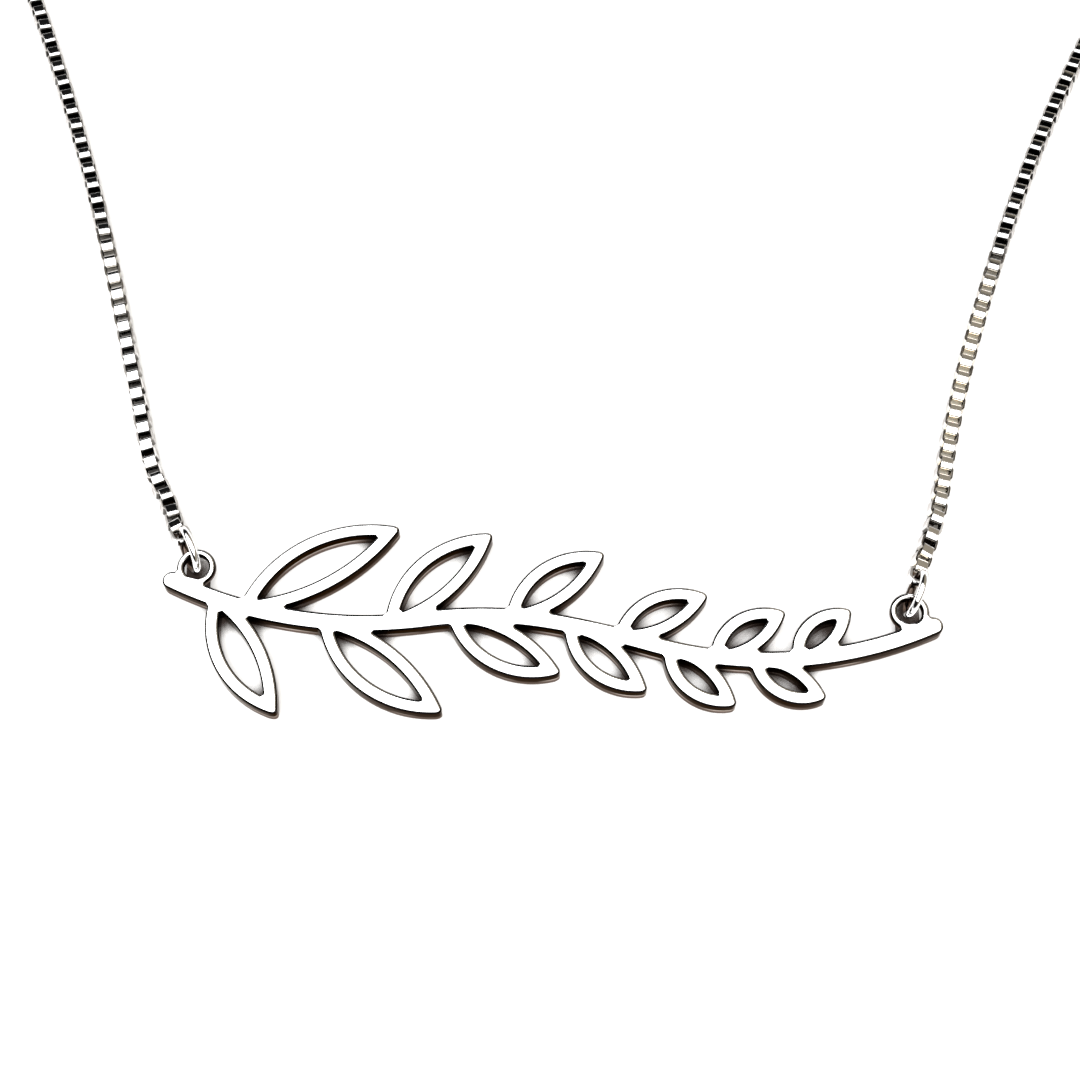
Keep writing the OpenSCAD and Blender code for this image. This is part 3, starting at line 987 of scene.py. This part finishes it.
def add_camera():
    """The camera that took the photograph."""
    data = bpy.data.cameras.new("camera")
    data.sensor_width = SENSOR_MM
    data.lens = SENSOR_MM * FOCAL_PIXELS / PHOTO_SIDE
    data.clip_start = CLIP_START
    data.clip_end = CLIP_END
    camera = bpy.data.objects.new("camera", data)
    camera.location = CAMERA_AT
    view = Vector(CAMERA_AIM) - Vector(CAMERA_AT)
    camera.rotation_euler = view.to_track_quat("-Z", "Y").to_euler()
    bpy.context.scene.collection.objects.link(camera)
    bpy.context.scene.camera = camera


def add_floor():
    """The surface under the necklace, with patches that show painted shade: one round the
    nameplate, and one with deeper painted shade inside each eyelet."""
    low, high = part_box("nameplate")
    patches = [(np.full(2, -FLOOR_HALF), np.full(2, FLOOR_HALF)),
               (np.array(low)[:2], np.array(high)[:2])]
    reach = np.array([EYELET_HOLE_R, EYELET_R])
    patches += [(eyelet - reach, eyelet + reach) for eyelet in (LEFT_EYELET, RIGHT_EYELET)]
    xs, ys = [sorted(corner[axis] for patch in patches for corner in patch) for axis in range(2)]
    floor = new_piece("floor", [(x, y, 0) for y in ys for x in xs],
                      sweep_faces(len(ys), len(xs), closed_rings=False))
    for name, shaded_to in (("pale_surface", None), ("pale_surface_round_plate", PLATE_SHADE_TO),
                            ("pale_surface_in_eyelets", EYELET_SHADE_TO)):
        floor.data.materials.append(floor_material(name, shaded_to))
    for face in floor.data.polygons:
        at = np.array(face.center)[:2]
        held = [k for k, (a, b) in enumerate(patches) if (at > a).all() and (at < b).all()]
        face.material_index = min(held[-1], 2)


def add_softbox():
    """A level panel over the table. Its far edge stands at an elevation straight ahead of the
    camera, and is turned about the vertical."""
    turn = math.radians(SOFTBOX_TURN_DEGREES)
    data = bpy.data.lights.new("softbox", "AREA")
    data.shape = "RECTANGLE"
    data.size = SOFTBOX_WIDTH
    data.size_y = SOFTBOX_DEPTH
    data.energy = SOFTBOX_RADIANCE * math.pi * SOFTBOX_WIDTH * SOFTBOX_DEPTH
    light = bpy.data.objects.new("softbox", data)
    edge_y = SOFTBOX_HEIGHT / math.tan(math.radians(SOFTBOX_EDGE_DEGREES))
    half = SOFTBOX_DEPTH / 2
    light.location = (math.sin(turn) * half, edge_y - math.cos(turn) * half, SOFTBOX_HEIGHT)
    light.rotation_euler = (0, 0, turn)
    bpy.context.scene.collection.objects.link(light)


def add_room():
    """A dark room round the table, warm on its right side and paler at the horizon."""
    world = bpy.data.worlds.new("room")
    bpy.context.scene.world = world
    world.use_nodes = True
    nodes, links = world.node_tree.nodes, world.node_tree.links
    place = nodes.new("ShaderNodeTexCoord")
    parts = nodes.new("ShaderNodeSeparateXYZ")
    links.new(place.outputs["Generated"], parts.inputs["Vector"])
    room = nodes.new("ShaderNodeMix")
    room.data_type = "RGBA"
    links.new(ramp(nodes, links, parts.outputs["Z"], HORIZON), room.inputs["Factor"])
    links.new(ramp(nodes, links, parts.outputs["X"], WALLS), room.inputs["A"])
    room.inputs["B"].default_value = (*ROOM_ABOVE, 1)
    links.new(room.outputs["Result"], nodes["Background"].inputs["Color"])
    nodes["Background"].inputs["Strength"].default_value = 1


add_camera()
add_floor()
add_softbox()
add_room()
bpy.context.scene.view_settings.view_transform = "Standard"

# The plate's sides and rounded edges take painted reflections and highlights; wires and links take
# painted shade
plate_silver = silver("plate_silver", shade="side", shade_range=(0.4, 0.7), unshaded=(0.93, 0.96),
                      dark=PLATE_SIDE_REFLECTIONS, polish=(0.04, 0.1), scratch_size=0.00012,
                      dark_over="height", lit=PLATE_SIDE_HIGHLIGHTS)
wire_silver = silver("wire_silver", shade="inner", shade_range=(0.2, 0.8), unshaded=(0.9, 0.95),
                     dark=WIRE_SHADE, polish=(0.05, 0.12), scratch_size=0.00008)
chain_silver = silver("chain_silver", shade="inner", shade_range=(0.2, 0.8), unshaded=(0.88, 0.95),
                      dark=LINK_SHADE, polish=(0.04, 0.1), scratch_size=0.00006,
                      dark_over="tone")

nameplate = build_nameplate()
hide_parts("nameplate")
dress(nameplate, plate_silver)

for ring in RINGS:
    piece = build_ring(ring + "_wire", ring)
    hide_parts(ring)
    dress(piece, wire_silver)

for node, ring in (("end_link_left_front", "jump_ring_left"),
                   ("end_link_right_front", "jump_ring_right"),
                   ("end_link_left_back", "clasp_ring_left"),
                   ("end_link_right_back", "clasp_ring_right")):
    piece = build_end_link(node + "_strip", ring)
    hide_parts(node)
    dress(piece, wire_silver)

for name, front, route, back, strand, seed in (
        ("chain_left", "jump_ring_left", LEFT_ROUTE, "clasp_ring_left", LEFT_STRAND,
         LEFT_SEED),
        ("chain_right", "jump_ring_right", RIGHT_ROUTE, "clasp_ring_right", RIGHT_STRAND,
         RIGHT_SEED)):
    piece = build_chain(name + "_links", front, route, back, strand, seed)
    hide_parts(name)
    dress(piece, chain_silver)

clasp = build_clasp()
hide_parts("clasp")
dress(clasp, wire_silver)
